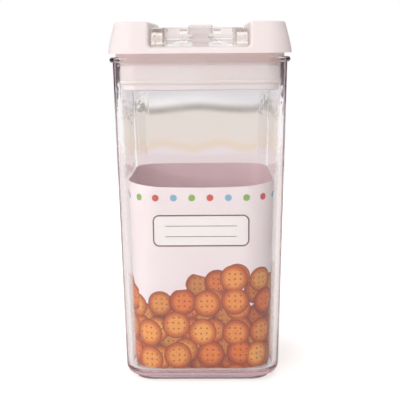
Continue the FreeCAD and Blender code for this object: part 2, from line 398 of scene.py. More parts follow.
@dataclass(frozen=True)
class Hairlines:
    """Sparse hairline scratches in three directions."""

    turns: tuple[Triple, ...] = ((0.0, 0.3, 0.4), (0.5, 0.0, 1.4), (1.1, 0.6, 2.5))
    stretch: Triple = (1.0, 0.03, 1.0)
    lines: Clouds = Clouds(900.0, 1.0)
    line_edge: Span = (0.006, 0.001)
    patches: Clouds = Clouds(60.0, 1.0)
    patch_edge: Span = (0.5, 0.7)

    def build(self) -> bpy.types.NodeTree:
        """Builds the group.

        Returns:
            The group, with a mask that is 1 in a scratch.
        """
        takes = {"Place": "vector", "Amount": "number"}
        effect = Effect("hairlines", takes, {"Mask": "number"})
        wiring = effect.wiring
        place = effect.inside["Place"]
        patches = wiring.step(wiring.noise(place, self.patches), *self.patch_edge)
        total: Source = 0.0
        for turn in self.turns:
            mapped = wiring.add("ShaderNodeMapping", Vector=place, Rotation=turn, Scale=self.stretch)
            lines = wiring.noise(mapped.outputs[0], self.lines)
            offset = wiring.math("ABSOLUTE", wiring.minus(lines, HALF))
            thin = wiring.times(wiring.step(offset, *self.line_edge), patches)
            total = wiring.math("MAXIMUM", thin, total)
        effect.give("Mask", wiring.times(total, effect.inside["Amount"]))
        return effect.tree


@dataclass(frozen=True)
class ToneDrift:
    """Slow drift between two near shades of one material."""

    clouds: Clouds = Clouds(38.0, 3.0)
    cloud_edge: Span = (0.3, 0.7)

    def build(self) -> bpy.types.NodeTree:
        """Builds the group.

        Returns:
            The group, with the drifting colour.
        """
        takes = {"Place": "vector", "First": "colour", "Second": "colour"}
        effect = Effect("tone_drift", takes, {"Colour": "colour"})
        wiring = effect.wiring
        cloud = wiring.step(wiring.noise(effect.inside["Place"], self.clouds), *self.cloud_edge)
        effect.give("Colour", wiring.blend(cloud, effect.inside["First"], effect.inside["Second"]))
        return effect.tree


@dataclass(frozen=True)
class BiscuitLayer:
    """One layer of printed round biscuits, heaped up to a wavy top line.

    The radius and the edges are shares of the pitch and of the radius, and each wave of
    the top line has its turns per metre and its swing.
    """

    scatter: float = 0.4
    radius: float = 0.5
    disc_edge: Span = (1.0, 0.97)
    waves: tuple[Span, ...] = ((58.0, 5.5 * MM), (131.0, 2.5 * MM))
    prick_rate: float = 5.0
    prick_scatter: float = 0.15
    prick_edge: Span = (0.2, 0.12)
    pricked_edge: Span = (0.72, 0.62)

    def build(self) -> bpy.types.NodeTree:
        """Builds the group.

        Returns:
            The group, with a mask, the way out from a biscuit's middle, a tint and its holes.
        """
        takes = {"Place": "vector", "Shift": "vector", "Pitch": "number", "Top": "number"}
        gives = {"Mask": "number", "Outward": "number", "Tint": "number", "Holes": "number"}
        effect = Effect("biscuit_layer", takes, gives)
        wiring = effect.wiring
        inside = effect.inside
        moved = wiring.vector("ADD", inside["Place"], inside["Shift"])
        in_pitches = wiring.scaled(moved, wiring.math("DIVIDE", 1.0, inside["Pitch"]))
        cells = wiring.cells(in_pitches, 1.0, self.scatter)
        outward = wiring.math("DIVIDE", cells["Distance"], self.radius)
        cell_middle = wiring.scaled(cells["Position"], inside["Pitch"])
        middle = wiring.split(wiring.vector("SUBTRACT", cell_middle, inside["Shift"]))
        top: Source = inside["Top"]
        for turns, swing in self.waves:
            wave = wiring.math("SINE", wiring.times(middle["X"], turns))
            top = wiring.plus(top, wiring.times(wave, swing))
        below = wiring.math("LESS_THAN", middle["Y"], top)
        disc = wiring.step(outward, *self.disc_edge)
        effect.give("Mask", wiring.times(disc, below))
        effect.give("Outward", outward)
        effect.give("Tint", wiring.add("ShaderNodeSeparateColor", Color=cells["Color"]).outputs[0])
        pricks = wiring.cells(in_pitches, self.prick_rate, self.prick_scatter)
        holes = wiring.step(pricks["Distance"], *self.prick_edge)
        effect.give("Holes", wiring.times(holes, wiring.step(outward, *self.pricked_edge)))
        return effect.tree


class Effects:
    """The shared effects, each built once."""

    def __init__(self) -> None:
        """Builds every group."""
        self.grain = MouldGrain().build()
        self.scratches = Hairlines().build()
        self.drift = ToneDrift().build()
        self.biscuits = BiscuitLayer().build()


def new_material(name: str) -> tuple[bpy.types.Material, Wiring, bpy.types.Node]:
    """Starts a node material.

    Args:
        name: the material's name.

    Returns:
        The material, its wiring and its output node.
    """
    material = bpy.data.materials.new(name)
    material.use_nodes = True
    material.node_tree.nodes.clear()
    wiring = Wiring(material.node_tree)
    return material, wiring, wiring.add("ShaderNodeOutputMaterial")


@dataclass(frozen=True)
class ClearPlastic:
    """Clear moulded plastic that lets light through and warms in thick places."""

    name: str
    tint_density: float
    tint: Colour
    roughness: float = 0.015
    ior: float = 1.49
    scratch_amount: float = 1.0
    scratch_dullness: float = 0.12
    smears: Clouds = Clouds(45.0, 3.0)
    smear_edge: Span = (0.45, 0.75)
    smear_dullness: float = 0.012
    flow: Clouds = Clouds(26.0, 1.0)
    flow_strength: float = 0.35
    flow_depth: float = 0.02 * MM
    lamp_tint: Colour = (0.992, 0.988, 0.988, 1.0)

    def build(self, effects: Effects) -> bpy.types.Material:
        """Makes the material.

        Args:
            effects: the shared effects.

        Returns:
            The material.
        """
        material, wiring, output = new_material(self.name)
        place = wiring.object_place()
        scratches = wiring.group(effects.scratches, Place=place, Amount=self.scratch_amount)["Mask"]
        smears = wiring.step(wiring.noise(place, self.smears), *self.smear_edge)
        dull_scratches = wiring.times(scratches, self.scratch_dullness)
        dull = wiring.plus(dull_scratches, wiring.times(smears, self.smear_dullness))
        flow = wiring.noise(place, self.flow)
        body = wiring.add(
            "ShaderNodeBsdfPrincipled",
            Base_Color=WHITE,
            Roughness=wiring.plus(dull, self.roughness),
            IOR=self.ior,
            Transmission_Weight=1.0,
            Normal=wiring.bump(flow, self.flow_strength, self.flow_depth),
        )
        through = wiring.add("ShaderNodeBsdfTransparent", Color=self.lamp_tint)
        lamp_rays = wiring.add("ShaderNodeLightPath").outputs["Is Shadow Ray"]
        shown = wiring.add("ShaderNodeMixShader", Fac=lamp_rays)
        wiring.feed(shown.inputs[1], body.outputs[0])
        wiring.feed(shown.inputs[2], through.outputs[0])
        wiring.feed(output.inputs["Surface"], shown.outputs[0])
        thick = wiring.add("ShaderNodeVolumeAbsorption", Color=self.tint, Density=self.tint_density)
        wiring.feed(output.inputs["Volume"], thick.outputs[0])
        return material


@dataclass(frozen=True)
class PalePlastic:
    """Pale satin plastic with moulded grain and a little light inside it."""

    name: str
    light_shade: Colour
    deep_shade: Colour
    roughness: float
    glow: float
    glow_reach: Triple = (1.2 * MM, 0.7 * MM, 0.6 * MM)
    ior: float = 1.47
    dull_swing: float = 0.16
    scratch_amount: float = 1.0
    scratch_shade: float = 0.06
    scratch_dullness: float = 0.1
    grain_strength: float = 0.6
    grain_depth: float = 0.012 * MM

    def build(self, effects: Effects) -> bpy.types.Material:
        """Makes the material.

        Args:
            effects: the shared effects.

        Returns:
            The material.
        """
        material, wiring, output = new_material(self.name)
        place = wiring.object_place()
        grain = wiring.group(effects.grain, Place=place)
        scratches = wiring.group(effects.scratches, Place=place, Amount=self.scratch_amount)["Mask"]
        drift = wiring.group(
            effects.drift, Place=place, First=self.light_shade, Second=self.deep_shade
        )
        marked = wiring.times(scratches, self.scratch_shade)
        dull_base = self.roughness - self.dull_swing * HALF
        dull = wiring.math("MULTIPLY_ADD", grain["Dullness"], self.dull_swing, dull_base)
        body = wiring.add(
            "ShaderNodeBsdfPrincipled",
            Base_Color=wiring.blend(marked, drift["Colour"], self.deep_shade),
            Roughness=wiring.plus(dull, wiring.times(scratches, self.scratch_dullness)),
            IOR=self.ior,
            Subsurface_Weight=self.glow,
            Subsurface_Radius=self.glow_reach,
            Subsurface_Scale=1.0,
            Normal=wiring.bump(grain["Height"], self.grain_strength, self.grain_depth),
        )
        wiring.feed(output.inputs["Surface"], body.outputs[0])
        return material


@dataclass(frozen=True)
class CardStock:
    """Plain card with soft fibres, for the unprinted side and the cut edge."""

    name: str
    light_shade: Colour
    deep_shade: Colour
    roughness: float = 0.7
    dull_swing: float = 0.15
    fibres: Clouds = Clouds(2600.0, 4.0, 0.65)
    fibre_strength: float = 0.4
    fibre_depth: float = 0.03 * MM
    speck_edge: Span = (0.6, 0.75)
    speck_shade: float = 0.25

    def build(self, effects: Effects) -> bpy.types.Material:
        """Makes the material.

        Args:
            effects: the shared effects.

        Returns:
            The material.
        """
        material, wiring, output = new_material(self.name)
        place = wiring.object_place()
        fibres = wiring.noise(place, self.fibres)
        drift = wiring.group(
            effects.drift, Place=place, First=self.light_shade, Second=self.deep_shade
        )
        speck = wiring.times(wiring.step(fibres, *self.speck_edge), self.speck_shade)
        body = wiring.add(
            "ShaderNodeBsdfPrincipled",
            Base_Color=wiring.blend(speck, drift["Colour"], self.deep_shade),
            Roughness=wiring.plus(wiring.times(fibres, self.dull_swing), self.roughness),
            Normal=wiring.bump(fibres, self.fibre_strength, self.fibre_depth),
        )
        wiring.feed(output.inputs["Surface"], body.outputs[0])
        return material


@dataclass(frozen=True)
class WritingPanel:
    """A printed blank panel with a rounded outline and two ruled lines."""

    ground: Colour = paint(255, 252, 250)
    ink: Colour = paint(104, 62, 52)
    middle: Triple = (0.0, 61 * MM, 0.0)
    half: Triple = (20 * MM, 6.5 * MM, 0.0)
    corner: float = 2.5 * MM
    outline: float = 0.35 * MM
    soft_share: float = 1 / 3
    rule_reach: float = 15 * MM
    rule_heights: Span = (58.5 * MM, 63 * MM)
    rule_edge: Span = (0.175 * MM, 0.0875 * MM)

    def over(self, wiring: Wiring, place: Source, below: Source) -> bpy.types.NodeSocket:
        """Paints the panel over what is printed below it.

        Args:
            wiring: the material's wiring.
            place: where on the print.
            below: the colour that the panel lies on.

        Returns:
            The colour with the panel.
        """
        from_middle = wiring.vector("ABSOLUTE", wiring.vector("SUBTRACT", place, self.middle))
        inner = tuple(max(size - self.corner, 0.0) for size in self.half)
        past = wiring.vector("MAXIMUM", wiring.vector("SUBTRACT", from_middle, inner), CENTRE)
        way_out = wiring.minus(wiring.vector("LENGTH", past), self.corner)
        soft = self.outline * self.soft_share
        colour = wiring.blend(wiring.step(way_out, soft, -soft), below, self.ground)
        line = wiring.step(wiring.math("ABSOLUTE", way_out), self.outline, self.outline - soft)
        part = wiring.split(place)
        from_centre = wiring.math("ABSOLUTE", part["X"])
        within = wiring.step(from_centre, self.rule_reach, self.rule_reach - soft)
        for height in self.rule_heights:
            off_line = wiring.math("ABSOLUTE", wiring.minus(part["Y"], height))
            rule = wiring.times(wiring.step(off_line, *self.rule_edge), within)
            line = wiring.math("MAXIMUM", line, rule)
        return wiring.blend(line, colour, self.ink)


@dataclass(frozen=True)
class DotBorder:
    """A printed row of small dots in turning colours, under the card's upper edge."""

    height: float = 75 * MM
    pitch: float = 7.6 * MM
    dot_edge: Span = (1.5 * MM, 1.35 * MM)
    colours: tuple[Colour, ...] = (paint(205, 74, 66), paint(134, 186, 212), paint(146, 188, 84))

    def over(self, wiring: Wiring, place: Source, below: Source) -> bpy.types.NodeSocket:
        """Paints the dots over what is printed below them.

        Args:
            wiring: the material's wiring.
            place: where on the print.
            below: the colour that the dots lie on.

        Returns:
            The colour with the dots.
        """
        part = wiring.split(place)
        count = wiring.math("DIVIDE", part["X"], self.pitch)
        across = wiring.times(wiring.minus(wiring.math("FRACT", count), HALF), self.pitch)
        up = wiring.minus(part["Y"], self.height)
        off = wiring.vector("LENGTH", wiring.add("ShaderNodeCombineXYZ", X=across, Y=up).outputs[0])
        dot = wiring.step(off, *self.dot_edge)
        turn = wiring.math("FLOORED_MODULO", wiring.math("FLOOR", count), float(len(self.colours)))
        colour: Source = self.colours[0]
        for index, later_colour in enumerate(self.colours[1:]):
            later = wiring.math("GREATER_THAN", turn, index + HALF)
            colour = wiring.blend(later, colour, later_colour)
        return wiring.blend(dot, below, colour)


@dataclass(frozen=True)
class BiscuitRow:
    """Place and tone of one biscuit layer in the heap."""

    shift: Triple
    pitch: float
    top: float
    shade: float


@dataclass(frozen=True)
class BiscuitHeap:
    """A printed heap of round biscuits along the card's foot, browner towards each rim."""

    rows: tuple[BiscuitRow, ...] = (
        BiscuitRow((3.1 * MM, 1.3 * MM, 0.0), pitch=11.5 * MM, top=40 * MM, shade=0.35),
        BiscuitRow((-2.6 * MM, 6.2 * MM, 0.0), pitch=11.0 * MM, top=37.5 * MM, shade=0.15),
        BiscuitRow((0.4 * MM, -3.7 * MM, 0.0), pitch=12.0 * MM, top=35 * MM, shade=0.0),
    )
    ground: Colour = paint(132, 70, 40)
    ground_edge: Span = (25 * MM, 24 * MM)
    pale: tuple[Colour, Colour] = (paint(248, 182, 92), paint(232, 122, 46))
    toasted: tuple[Colour, Colour] = (paint(208, 98, 32), paint(170, 60, 22))
    toast_edge: Span = (0.45, 0.92)
    rim: Colour = paint(88, 34, 20)
    rim_edge: Span = (0.9, 1.0)
    crumbs: Clouds = Clouds(1500.0, 3.0)
    crumb_edge: Span = (0.48, 0.72)
    crumb_share: float = 0.4
    prick: Colour = paint(96, 42, 24)
    prick_share: float = 0.75
    shadow: Colour = paint(84, 34, 20)

    def biscuit(
        self, wiring: Wiring, place: Source, layer: bpy.types.NodeOutputs, shade: float
    ) -> bpy.types.NodeSocket:
        """Paints the biscuits of one layer.

        Args:
            wiring: the material's wiring.
            place: where on the print.
            layer: outputs of the placed biscuit layer.
            shade: how dark the layer lies below the others.

        Returns:
            The layer's colour.
        """
        pale = wiring.blend(layer["Tint"], *self.pale)
        toasted = wiring.blend(layer["Tint"], *self.toasted)
        colour = wiring.blend(wiring.step(layer["Outward"], *self.toast_edge), pale, toasted)
        colour = wiring.blend(wiring.step(layer["Outward"], *self.rim_edge), colour, self.rim)
        crumb = wiring.step(wiring.noise(place, self.crumbs), *self.crumb_edge)
        colour = wiring.blend(wiring.times(crumb, self.crumb_share), colour, toasted)
        colour = wiring.blend(wiring.times(layer["Holes"], self.prick_share), colour, self.prick)
        return wiring.blend(shade, colour, self.shadow)

    def over(
        self, wiring: Wiring, effects: Effects, place: Source, below: Source
    ) -> bpy.types.NodeSocket:
        """Paints the heap over what is printed below it.

        Args:
            wiring: the material's wiring.
            effects: the shared effects.
            place: where on the print.
            below: the colour that the heap lies on.

        Returns:
            The colour with the heap.
        """
        in_heap = wiring.step(wiring.split(place)["Y"], *self.ground_edge)
        colour = wiring.blend(in_heap, below, self.ground)
        for row in self.rows:
            layer = wiring.group(
                effects.biscuits, Place=place, Shift=row.shift, Pitch=row.pitch, Top=row.top
            )
            biscuits = self.biscuit(wiring, place, layer, row.shade)
            colour = wiring.blend(layer["Mask"], colour, biscuits)
        return colour


@dataclass(frozen=True)
class PrintedCard:
    """Coated card with a printed heap of biscuits, a dotted border and a panel to write on.

    The print reads the sleeve's own map: metres round the sleeve from the middle of its
    front, and metres up from its lower edge.
    """

    name: str
    ground: Colour = paint(253, 244, 245)
    ground_drift: Colour = paint(250, 238, 240)
    panel: WritingPanel = WritingPanel()
    border: DotBorder = DotBorder()
    heap: BiscuitHeap = BiscuitHeap()
    roughness: float = 0.42
    dull_swing: float = 0.12
    fibres: Clouds = Clouds(2200.0, 3.0)
    fibre_strength: float = 0.25
    fibre_depth: float = 0.02 * MM

    def build(self, effects: Effects) -> bpy.types.Material:
        """Makes the material.

        Args:
            effects: the shared effects.

        Returns:
            The material.
        """
        material, wiring, output = new_material(self.name)
        place = wiring.add("ShaderNodeUVMap", {"uv_map": PRINT_MAP}).outputs[0]
        drift = wiring.group(effects.drift, Place=place, First=self.ground, Second=self.ground_drift)
        colour = self.panel.over(wiring, place, drift["Colour"])
        colour = self.border.over(wiring, place, colour)
        colour = self.heap.over(wiring, effects, place, colour)
        fibres = wiring.noise(wiring.object_place(), self.fibres)
        body = wiring.add(
            "ShaderNodeBsdfPrincipled",
            Base_Color=colour,
            Roughness=wiring.plus(wiring.times(fibres, self.dull_swing), self.roughness),
            Normal=wiring.bump(fibres, self.fibre_strength, self.fibre_depth),
        )
        wiring.feed(output.inputs["Surface"], body.outputs[0])
        return material


class Workpiece:
    """One mesh that is modelled in edit mode, from a block."""

    CAP_NORMAL = 0.99

    def __init__(self, name: str, low: Vector, high: Vector) -> None:
        """Starts from a block between two corners and leaves it in edit mode.

        Args:
            name: the piece's name.
            low: lowest corner.
            high: highest corner.
        """
        bpy.ops.object.select_all(action="DESELECT")
        bpy.ops.mesh.primitive_cube_add(size=1, location=(low + high) / 2)
        self.obj = bpy.context.active_object
        self.obj.name = name
        self.obj.data.name = name
        self.obj.scale = high - low
        bpy.ops.object.transform_apply(location=True, rotation=True, scale=True)
        bpy.ops.object.mode_set(mode="EDIT")
        bpy.ops.mesh.select_all(action="DESELECT")

    def pick(self, kind: Pick, test: Callable[..., bool]) -> None:
        """Selects elements by their place.

        Args:
            kind: points, edges or faces.
            test: takes a point's place, an edge's two ends, or a face's middle and normal.
        """
        bpy.ops.mesh.select_mode(type=kind.value)
        bpy.ops.mesh.select_all(action="DESELECT")
        mesh = bmesh.from_edit_mesh(self.obj.data)
        if kind is Pick.POINTS:
            chosen = [point for point in mesh.verts if test(point.co)]
        elif kind is Pick.EDGES:
            chosen = [edge for edge in mesh.edges if test(edge.verts[0].co, edge.verts[1].co)]
        else:
            mesh.normal_update()
            chosen = [face for face in mesh.faces if test(face.calc_center_median(), face.normal)]
        for element in chosen:
            element.select_set(True)
        mesh.select_flush_mode()
        bmesh.update_edit_mesh(self.obj.data)

    def pick_level(self, height: float) -> None:
        """Selects the edges that lie at one height."""
        self.pick(Pick.EDGES, lambda a, b: abs(a.z - height) < MATCH and abs(b.z - height) < MATCH)

    def pick_uprights(self) -> None:
        """Selects the edges that run from a low point to a high one at a corner."""
        self.pick(Pick.EDGES, lambda a, b: abs(a.z - b.z) > max(abs(a.x - b.x), abs(a.y - b.y)))

    def drop_caps(self) -> None:
        """Deletes the faces that look straight up or down."""
        self.pick(Pick.FACES, lambda middle, normal: abs(normal.z) > self.CAP_NORMAL)
        bpy.ops.mesh.delete(type="FACE")

    def slice_through(self, place: Triple, normal: Triple) -> None:
        """Cuts a new edge loop through the whole piece.

        Args:
            place: a point on the cut.
            normal: the direction that the cut looks in.
        """
        bpy.ops.mesh.select_mode(type="FACE")
        bpy.ops.mesh.select_all(action="SELECT")
        bpy.ops.mesh.bisect(plane_co=place, plane_no=normal)

    def widen(self, share: float) -> None:
        """Scales what is selected about the upright axis."""
        bpy.ops.transform.resize(value=(share, share, 1), center_override=CENTRE)

    def bevel(self, width: float, segments: int) -> None:
        """Rounds what is selected."""
        bpy.ops.mesh.bevel(offset=width, segments=segments, affect="EDGES", clamp_overlap=True)

    def modify(self, kind: str, **settings: object) -> None:
        """Adds a modifier and applies it.

        Args:
            kind: the modifier's type.
            **settings: its options.
        """
        bpy.ops.object.mode_set(mode="OBJECT")
        bpy.ops.object.modifier_add(type=kind)
        modifier = self.obj.modifiers[-1]
        for name, value in settings.items():
            setattr(modifier, name, value)
        bpy.ops.object.modifier_apply(modifier=modifier.name)

    def finish(self, angle: float) -> bpy.types.Object:
        """Leaves edit mode and shades the piece smooth.

        Args:
            angle: edges sharper than this stay sharp, in degrees.

        Returns:
            The finished object.
        """
        bpy.ops.object.mode_set(mode="OBJECT")
        bpy.ops.object.shade_smooth_by_angle(angle=math.radians(angle))
        return self.obj


def dress(obj: bpy.types.Object, *materials: bpy.types.Material) -> None:
    """Puts materials on a piece in slot order.

    Args:
        obj: the piece.
        *materials: the materials, the first for most of its faces.
    """
    obj.data.materials.clear()
    for material in materials:
        obj.data.materials.append(material)


@dataclass
class CardSleeve:
    """The card tube that stands inside the jar, with its glued flap."""

    printed: bpy.types.Material
    plain: bpy.types.Material
    cut_edge: bpy.types.Material
    thickness: float = 0.4 * MM
    corner: float = 15 * MM
    foot_half: float = 30.38 * MM
    loops: int = 6
    corner_segments: int = 14
    front_cuts: tuple[float, ...] = (-0.4, -0.2, 0.0, 0.2, 0.4)
    front_dip: float = 1.9 * MM
    dip_power: int = 4
    dip_ends: float = 0.6
    flap_half: float = 6 * MM
    flap_thickness: float = 0.3 * MM
    flap_rounding: float = 0.18 * MM
    flap_segments: int = 2
    smooth_angle: float = 35.0

    def round_position(self, x: float, y: float, half: float) -> float:
        """Distance round the sleeve from the middle of its front, at full size.

        Args:
            x: place to the right.
            y: place to the back.
            half: half the sleeve's width at that height.

        Returns:
            The signed distance, positive to the right.
        """
        side = half - self.corner
        arc = self.corner * math.pi / 2
        across = abs(x)
        if y < -side and across > side:
            distance = side + self.corner * math.atan2(across - side, -side - y)
        elif y > side and across > side:
            distance = 3 * side + arc + self.corner * math.atan2(y - side, across - side)
        elif y <= -side:
            distance = across
        elif y >= side:
            distance = 4 * side + 2 * arc - across
        else:
            distance = 2 * side + arc + y
        return math.copysign(distance, x)

    def half_at(self, height: float, low: Vector, high: Vector) -> float:
        """Half width of the sleeve at a height.

        Args:
            height: the height.
            low: lowest corner of the sleeve.
            high: highest corner of the sleeve.

        Returns:
            The half width.
        """
        share = (height - low.z) / (high.z - low.z)
        return self.foot_half + (high.x - self.foot_half) * share

    def map_print(self, obj: bpy.types.Object, low: Vector, high: Vector) -> None:
        """Gives the piece the map that the print reads, in metres.

        Args:
            obj: the sleeve or its flap.
            low: lowest corner of the sleeve.
            high: highest corner of the sleeve.
        """
        layer = obj.data.uv_layers.get(PRINT_MAP) or obj.data.uv_layers.new(name=PRINT_MAP)
        for face in obj.data.polygons:
            right = face.center.x >= 0
            for loop in face.loop_indices:
                point = obj.data.vertices[obj.data.loops[loop].vertex_index].co
                x = max(point.x, MATCH) if right else min(point.x, -MATCH)
                around = self.round_position(x, point.y, self.half_at(point.z, low, high))
                layer.data[loop].uv = (around, point.z - low.z)

    def dip_front(self, work: Workpiece, low: Vector, high: Vector) -> None:
        """Lowers the upper edge along the front, most in the middle.

        Args:
            work: the tube, in edit mode.
            low: lowest corner of the sleeve.
            high: highest corner of the sleeve.
        """
        points = bmesh.from_edit_mesh(work.obj.data).verts
        edge = [point.co.copy() for point in points if high.z - point.co.z < MATCH and point.co.y < 0]
        for spot in edge:
            forward = (spot.y / low.y) ** self.dip_power
            inward = 1 - self.dip_ends * (spot.x / high.x) ** 2
            work.pick(Pick.POINTS, lambda place: (place - spot).length < MATCH)
            bpy.ops.transform.translate(value=(0, 0, -self.front_dip * forward * inward))

    def build_tube(self, low: Vector, high: Vector) -> bpy.types.Object:
        """Models the tube: a drafted block without caps, with wide corners and a dipped front edge.

        Args:
            low: lowest corner of the sleeve.
            high: highest corner of the sleeve.

        Returns:
            The tube.
        """
        work = Workpiece("card_sleeve", low, high)
        work.drop_caps()
        work.pick_level(low.z)
        work.widen(self.foot_half / high.x)
        work.pick_uprights()
        work.bevel(self.corner, self.corner_segments)
        for step in range(1, self.loops + 1):
            height = low.z + (high.z - low.z) * step / (self.loops + 1)
            work.slice_through((0, 0, height), UP)
        for share in self.front_cuts:
            work.slice_through((share * high.x, 0, 0), RIGHT)
        self.dip_front(work, low, high)
        dress(work.obj, self.printed, self.plain, self.cut_edge)
        work.modify(
            "SOLIDIFY",
            thickness=self.thickness,
            offset=-1,
            material_offset=1,
            material_offset_rim=2,
        )
        obj = work.finish(self.smooth_angle)
        self.map_print(obj, low, high)
        return obj

    def build_flap(self, low: Vector, high: Vector) -> bpy.types.Object:
        """Models the glued flap over the seam at the back.

        Args:
            low: lowest corner of the sleeve.
            high: highest corner of the sleeve.

        Returns:
            The flap.
        """
        flap_low = Vector((-self.flap_half, high.y, low.z))
        flap_high = Vector((self.flap_half, high.y + self.flap_thickness, high.z))
        work = Workpiece("card_sleeve_flap", flap_low, flap_high)
        work.pick(Pick.POINTS, lambda point: point.z < low.z + MATCH)
        bpy.ops.transform.translate(value=(0, self.foot_half - high.x, 0))
        work.pick(
            Pick.EDGES,
            lambda a, b: min(a.y, b.y) > high.y + MATCH and abs(a.z - b.z) > self.corner,
        )
        work.bevel(self.flap_rounding, self.flap_segments)
        work.slice_through(CENTRE, RIGHT)
        obj = work.finish(self.smooth_angle)
        self.map_print(obj, low, high)
        dress(obj, self.printed)
        return obj

    def build(self) -> None:
        """Builds the tube and its flap in the place of the frame's sleeve."""
        low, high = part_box("label_sleeve")
        tube = self.build_tube(low, high)
        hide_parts("label_sleeve")
        for obj in (tube, self.build_flap(low, high)):
            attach(obj, Body.JAR.value)
            LOG.info("built %s with %d faces", obj.name, len(obj.data.polygons))


@dataclass
class SealRing:
    """The silicone ring with two soft lips, squeezed between the lid and the plate.

    Its outside is given level by level: shares of the height, and insets from the widest
    place.
    """

    finish: bpy.types.Material
    section: float = 3.35 * MM
    corner: float = 7.16 * MM
    corner_segments: int = 10
    level_shares: tuple[float, ...] = (0.04, 0.09, 0.14, 0.18, 0.21, 0.24, 0.32, 0.6, 0.88, 0.96)
    level_insets_mm: tuple[float, ...] = (0.3, 0.08, 0.02, 0.06, 0.22, 0.12, 0.03, 0.0, 0.06, 0.3)
    end_inset_mm: float = 0.7
    smooth_angle: float = 50.0

    def build(self) -> None:
        """Models the ring in the place of the frame's seal."""
        low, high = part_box("seal_ring")
        work = Workpiece("silicone_seal", low, high)
        work.drop_caps()
        work.pick_uprights()
        work.bevel(self.corner, self.corner_segments)
        half = high.x
        levels = [low.z + (high.z - low.z) * share for share in self.level_shares]
        for level in levels:
            work.slice_through((0, 0, level), UP)
        insets = dict(zip(levels, self.level_insets_mm))
        insets |= {low.z: self.end_inset_mm, high.z: self.end_inset_mm}
        for level, inset in insets.items():
            work.pick_level(level)
            work.widen((half - inset * MM) / half)
        thickness = self.section - self.end_inset_mm * MM
        work.modify("SOLIDIFY", thickness=thickness, offset=-1, use_even_offset=True)
        obj = work.finish(self.smooth_angle)
        dress(obj, self.finish)
        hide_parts("seal_ring")
        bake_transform(obj)
        LOG.info("built %s with %d faces", obj.name, len(obj.data.polygons))


def seen_through(wiring: Wiring) -> bpy.types.NodeSocket:
    """Tells what the camera sees by way of clear plastic from what lights the pieces.

    Args:
        wiring: the wiring of the floor or the room.

    Returns:
        A socket that is 1 for what the camera sees in or through the plastic.
    """
    rays = wiring.add("ShaderNodeLightPath").outputs
    by_plastic = wiring.math("MAXIMUM", rays["Is Glossy Ray"], rays["Is Transmission Ray"])
    return wiring.times(by_plastic, wiring.math("LESS_THAN", rays["Diffuse Depth"], HALF))


@dataclass(frozen=True)
class ViewCamera:
    """The camera at the photograph's viewing angle, with its turns in degrees."""

    lens: float = 82.2
    sensor: float = 36.0
    place: Triple = (5.0 * MM, -406.6 * MM, 144.7 * MM)
    level: float = 90.0
    pitch: float = -9.87
    yaw: float = 0.82
    roll: float = -0.48

    def build(self) -> None:
        """Adds the camera and makes it the scene's own."""
        data = bpy.data.cameras.new("camera")
        data.lens = self.lens
        data.sensor_width = self.sensor
        obj = bpy.data.objects.new("camera", data)
        bpy.context.scene.collection.objects.link(obj)
        turn = Euler((math.radians(self.level + self.pitch), 0, math.radians(self.yaw)), "XYZ")
        roll = Euler((0, 0, math.radians(self.roll)), "XYZ")
        obj.rotation_euler = (turn.to_matrix() @ roll.to_matrix()).to_euler()
        obj.location = self.place
        bpy.context.scene.camera = obj


@dataclass(frozen=True)
class PaleFloor:
    """Pale floor that the camera sees as white outside the shadow."""

    reach: float = 0.6
    drop: float = 0.1 * MM
    colour: Colour = (0.9, 0.86, 0.84, 1.0)
    camera_lift: float = 0.45
    plastic_lift: float = 0.08

    def finish(self) -> bpy.types.Material:
        """Makes the floor's material.

        Returns:
            The material.
        """
        material, wiring, output = new_material("pale_floor")
        matt = wiring.add("ShaderNodeBsdfDiffuse", Color=self.colour)
        camera_rays = wiring.add("ShaderNodeLightPath").outputs["Is Camera Ray"]
        direct = wiring.times(camera_rays, self.camera_lift)
        strength = wiring.plus(direct, wiring.times(seen_through(wiring), self.plastic_lift))
        lift = wiring.add("ShaderNodeEmission", Color=WHITE, Strength=strength)
        total = wiring.add("ShaderNodeAddShader")
        wiring.feed(total.inputs[0], matt.outputs[0])
        wiring.feed(total.inputs[1], lift.outputs[0])
        wiring.feed(output.inputs["Surface"], total.outputs[0])
        return material

    def build(self) -> None:
        """Lays the floor just under the foot."""
        bpy.ops.object.select_all(action="DESELECT")
        bpy.ops.mesh.primitive_plane_add(size=2 * self.reach, location=(0, 0, -self.drop))
        obj = bpy.context.active_object
        obj.name = "floor"
        dress(obj, self.finish())


@dataclass(frozen=True)
class WaveLine:
    """An uneven wavy line on the far wall, in parts of the direction looked along."""

    level: float
    swing: float
    turns: float
    shift: float
    rough_share: float = 0.25
    rough_octaves: float = 1.0
    rough_swing: float = 4.0

    def over(self, wiring: Wiring, way: bpy.types.NodeOutputs) -> bpy.types.NodeSocket:
        """Measures how far a direction lies above the line.

        Args:
            wiring: the room's wiring.
            way: the three parts of the direction looked along.

        Returns:
            The way above the line.
        """
        even = wiring.math("COSINE", wiring.times(wiring.plus(way["X"], self.shift), self.turns))
        across = wiring.add("ShaderNodeCombineXYZ", X=way["X"]).outputs[0]
        rough = wiring.noise(across, Clouds(self.turns * self.rough_share, self.rough_octaves))
        uneven = wiring.times(wiring.minus(rough, HALF), self.rough_swing)
        wave = wiring.times(wiring.plus(even, uneven), self.swing)
        return wiring.minus(way["Z"], wiring.minus(self.level, wave))


